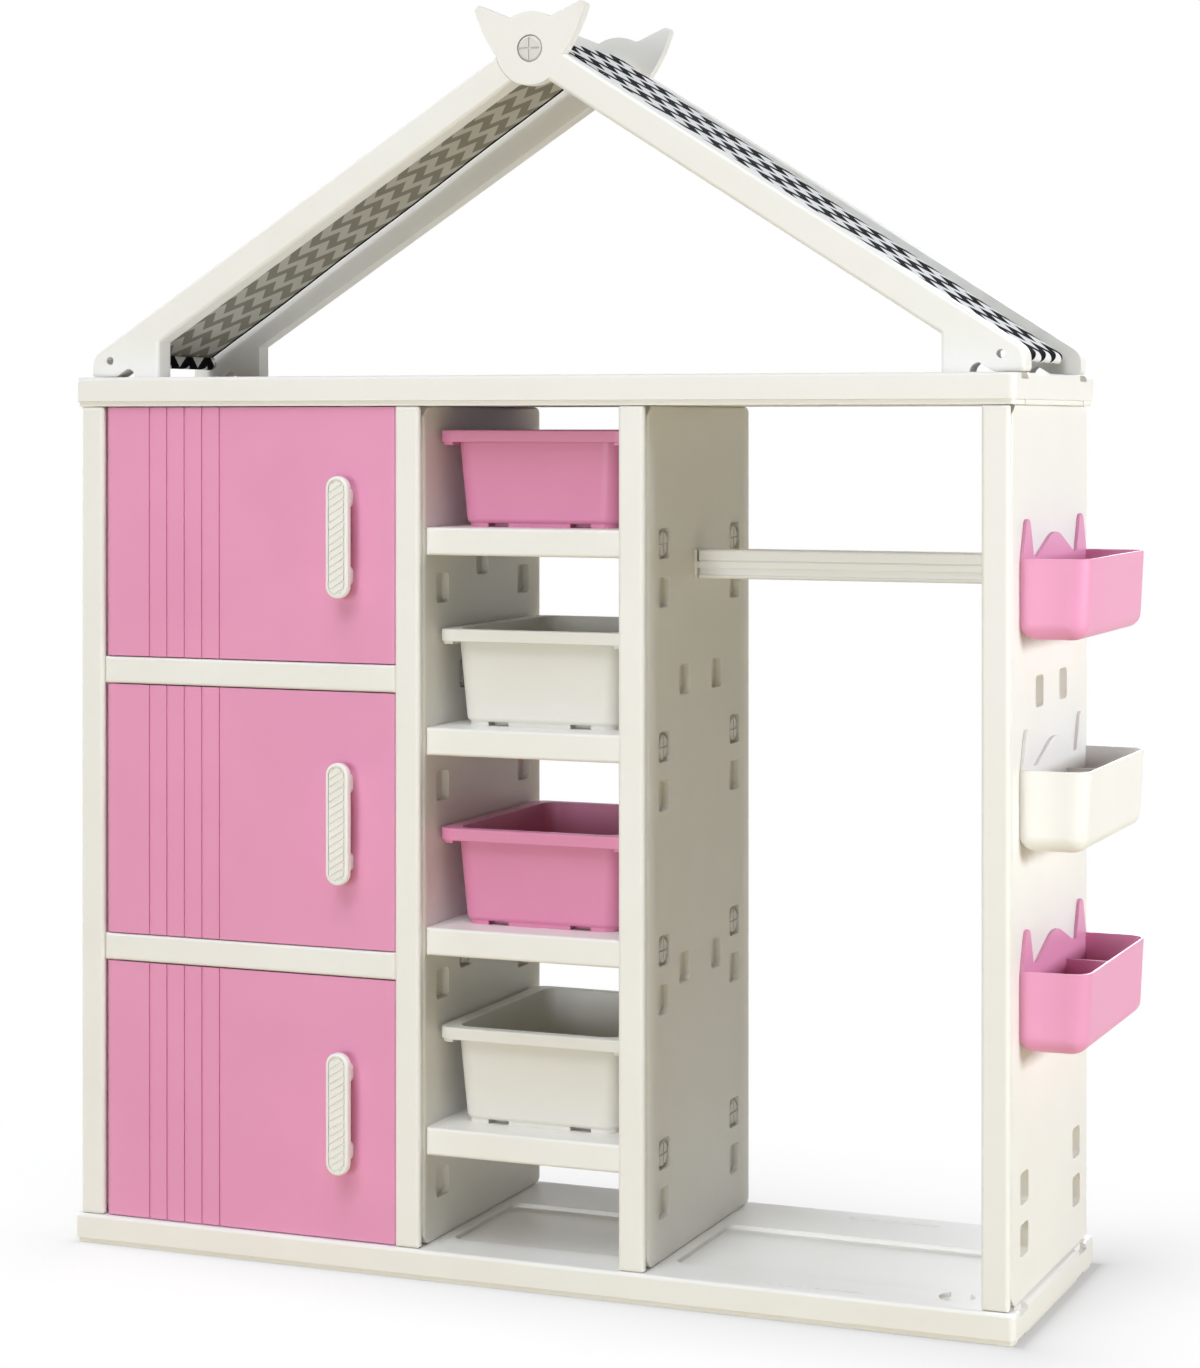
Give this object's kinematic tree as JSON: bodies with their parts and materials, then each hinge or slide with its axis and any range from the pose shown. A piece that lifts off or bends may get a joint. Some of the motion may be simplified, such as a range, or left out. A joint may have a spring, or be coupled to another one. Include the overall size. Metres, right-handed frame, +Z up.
{
  "type": "kids clothing rack",
  "caption": "House-shaped moulded plastic clothing rack for children with a door cupboard, pull-out bins, a clothes rail, side caddies and a cloth roof.",
  "frame": {"origin": "centre of the base board's underside, on the floor", "axes": "+X to the right seen from the front, +Y to the back, +Z up"},
  "size_m": [1.063, 0.319, 1.263],
  "materials": {
    "white_plastic": "satin",
    "pink_plastic": "satin",
    "screw_plastic": "satin",
    "steel": "brushed",
    "striped_cloth": "matt weave"
  },
  "bodies": {
    "carcass": {"base_board": "white_plastic", "top_board": "white_plastic", "left_panel": "white_plastic", "left_divider": "white_plastic", "right_divider": "white_plastic", "right_panel": "white_plastic", "bin_shelf_1": "white_plastic", "bin_shelf_2": "white_plastic", "bin_shelf_3": "white_plastic", "bin_shelf_4": "white_plastic", "cupboard_shelf_upper": "white_plastic", "cupboard_shelf_lower": "white_plastic", "cupboard_back_upper": "white_plastic", "cupboard_back_middle": "white_plastic", "cupboard_back_lower": "white_plastic", "door_stops": "white_plastic", "hanging_rail": "white_plastic", "rail_socket_left": "white_plastic", "rail_socket_right": "white_plastic", "front_left_rafter": "white_plastic", "front_right_rafter": "white_plastic", "rear_left_rafter": "white_plastic", "rear_right_rafter": "white_plastic", "base_connectors": "white_plastic", "top_connectors": "white_plastic", "ridge_rod": "white_plastic", "bin_shelf_screws": "screw_plastic", "cupboard_shelf_screws": "screw_plastic", "ridge_screws": "screw_plastic", "left_eave_rod": "steel", "right_eave_rod": "steel", "roof_foot_screws": "steel", "roof_cloth": "striped_cloth"},
    "upper_door": {"door_upper": "pink_plastic", "door_handle_upper": "white_plastic", "handle_screws_upper": "steel"},
    "middle_door": {"door_middle": "pink_plastic", "door_handle_middle": "white_plastic", "handle_screws_middle": "steel"},
    "lower_door": {"door_lower": "pink_plastic", "door_handle_lower": "white_plastic", "handle_screws_lower": "steel"},
    "bin_1": {"bin_1": "pink_plastic"},
    "bin_2": {"bin_2": "white_plastic"},
    "bin_3": {"bin_3": "pink_plastic"},
    "bin_4": {"bin_4": "white_plastic"},
    "caddy_1": {"caddy_1": "pink_plastic"},
    "caddy_2": {"caddy_2": "white_plastic"},
    "caddy_3": {"caddy_3": "pink_plastic"}
  },
  "joints": [
    {"name": "upper_door_hinge", "type": "hinge", "parent": "carcass", "child": "upper_door", "pos_m": [-0.4607, -0.139, 0.737], "axis": [0, 0, -1], "range_deg": [0, 90]},
    {"name": "middle_door_hinge", "type": "hinge", "parent": "carcass", "child": "middle_door", "pos_m": [-0.4607, -0.139, 0.45125], "axis": [0, 0, -1], "range_deg": [0, 90]},
    {"name": "lower_door_hinge", "type": "hinge", "parent": "carcass", "child": "lower_door", "pos_m": [-0.4607, -0.139, 0.16225], "axis": [0, 0, -1], "range_deg": [0, 90]},
    {"name": "bin_1_pull", "type": "slide", "parent": "carcass", "child": "bin_1", "axis": [0, -1, 0], "range_m": [0, 0.22]},
    {"name": "bin_2_pull", "type": "slide", "parent": "carcass", "child": "bin_2", "axis": [0, -1, 0], "range_m": [0, 0.22]},
    {"name": "bin_3_pull", "type": "slide", "parent": "carcass", "child": "bin_3", "axis": [0, -1, 0], "range_m": [0, 0.22]},
    {"name": "bin_4_pull", "type": "slide", "parent": "carcass", "child": "bin_4", "axis": [0, -1, 0], "range_m": [0, 0.22]},
    {"name": "caddy_1_lift", "type": "slide", "parent": "carcass", "child": "caddy_1", "axis": [0, 0, 1], "range_m": [0, 0.012]},
    {"name": "caddy_2_lift", "type": "slide", "parent": "carcass", "child": "caddy_2", "axis": [0, 0, 1], "range_m": [0, 0.012]},
    {"name": "caddy_3_lift", "type": "slide", "parent": "carcass", "child": "caddy_3", "axis": [0, 0, 1], "range_m": [0, 0.012]}
  ]
}
